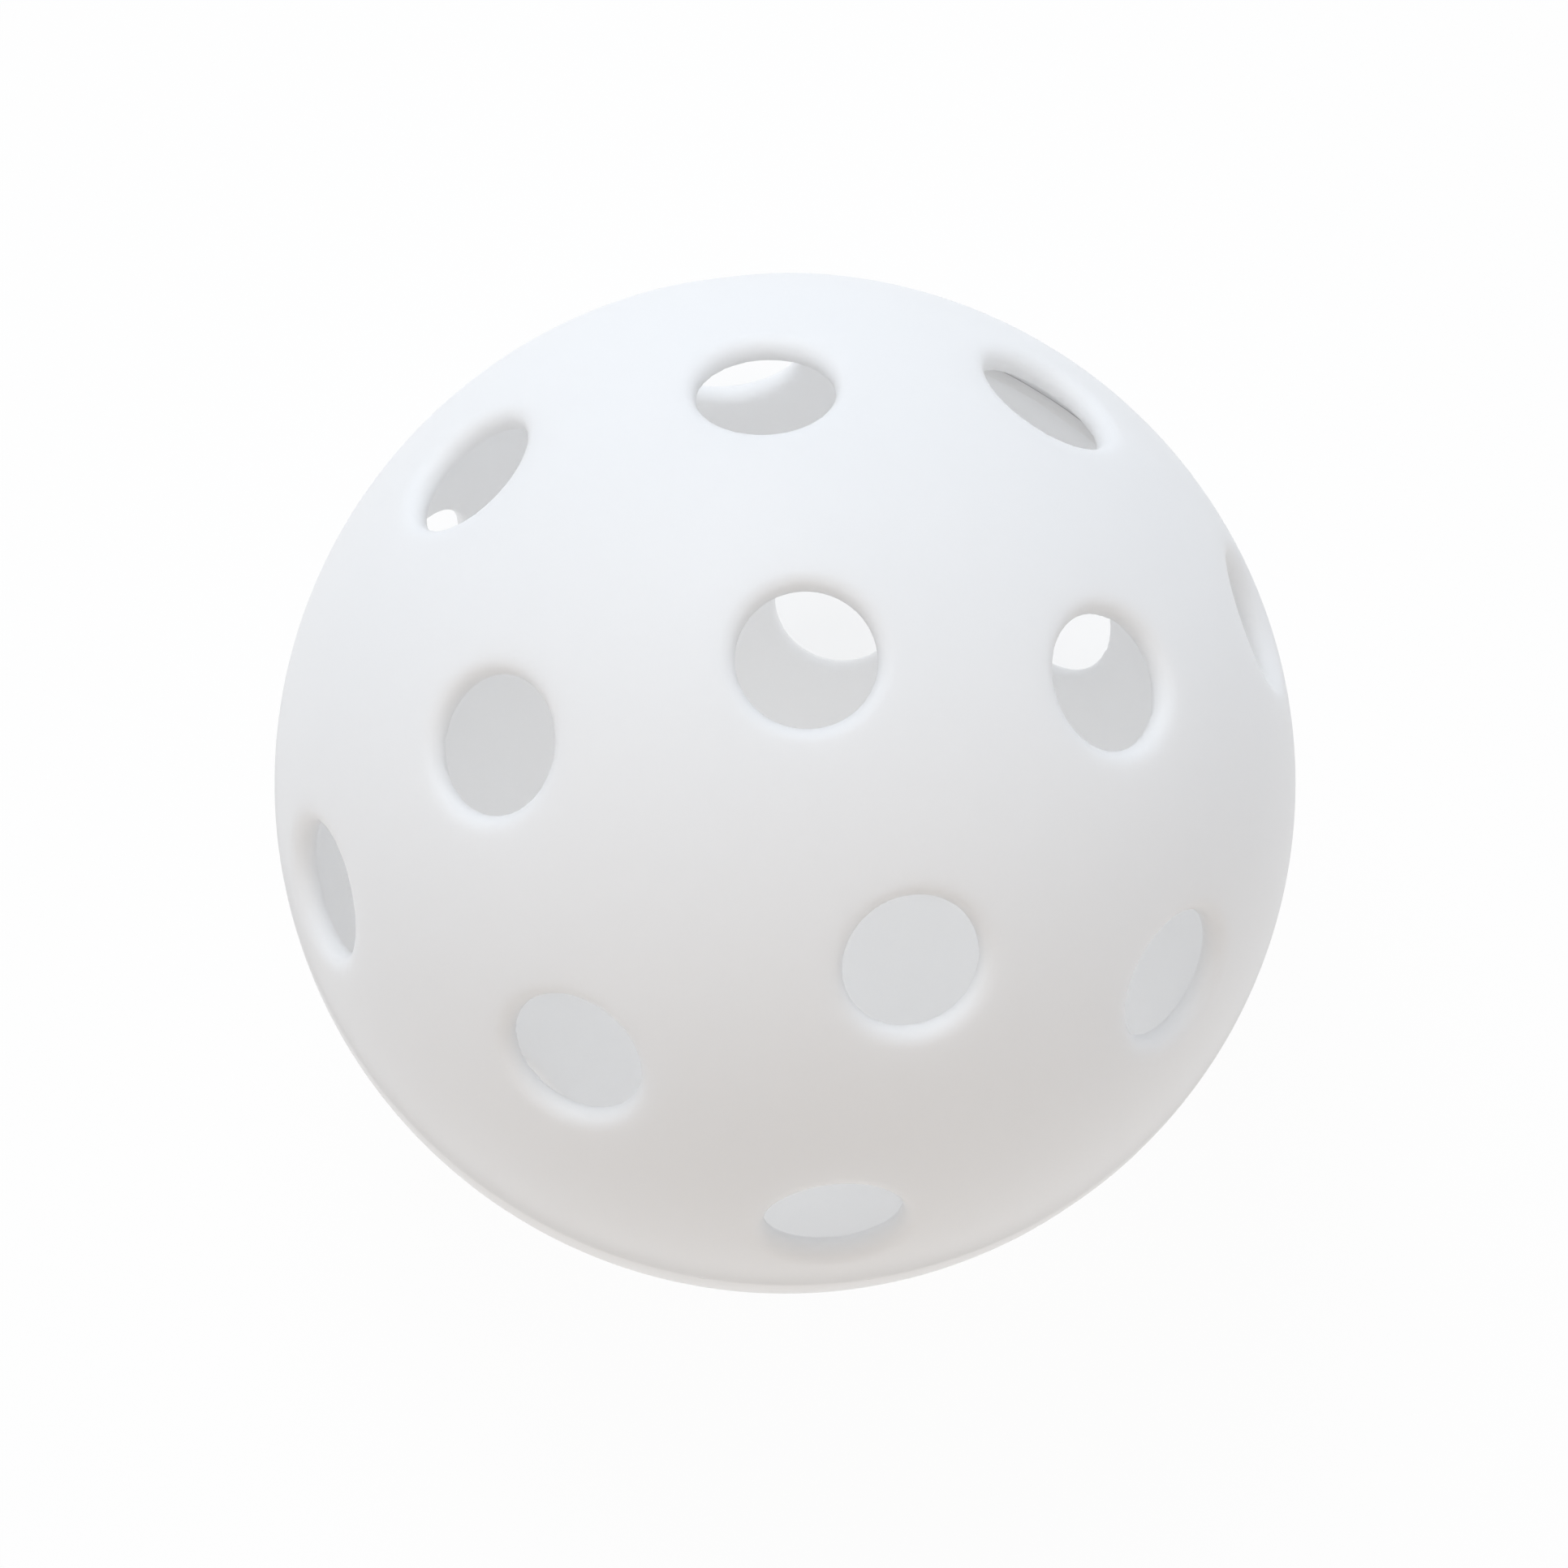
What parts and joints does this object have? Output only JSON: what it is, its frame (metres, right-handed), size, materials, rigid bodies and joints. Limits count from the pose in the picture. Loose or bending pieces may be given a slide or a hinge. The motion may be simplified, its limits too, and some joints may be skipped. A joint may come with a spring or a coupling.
{
  "type": "perforated ball",
  "caption": "Hollow perforated plastic ball for indoor pickleball, two welded half shells with round lipped holes that let air through.",
  "frame": {"origin": "centre of the ball, in the plane of the weld", "axes": "+Z along the pole axis through the upper pole hole, X and Y in the weld plane, +X right and +Y up in the picture's view"},
  "size_m": [0.074, 0.074, 0.0732],
  "materials": {
    "shell_white": "satin moulded polyethylene",
    "bead_white": "smooth cooled melt"
  },
  "bodies": {
    "root": {"upper_half_shell": "shell_white", "lower_half_shell": "shell_white", "weld_bead": "bead_white"}
  },
  "joints": []
}
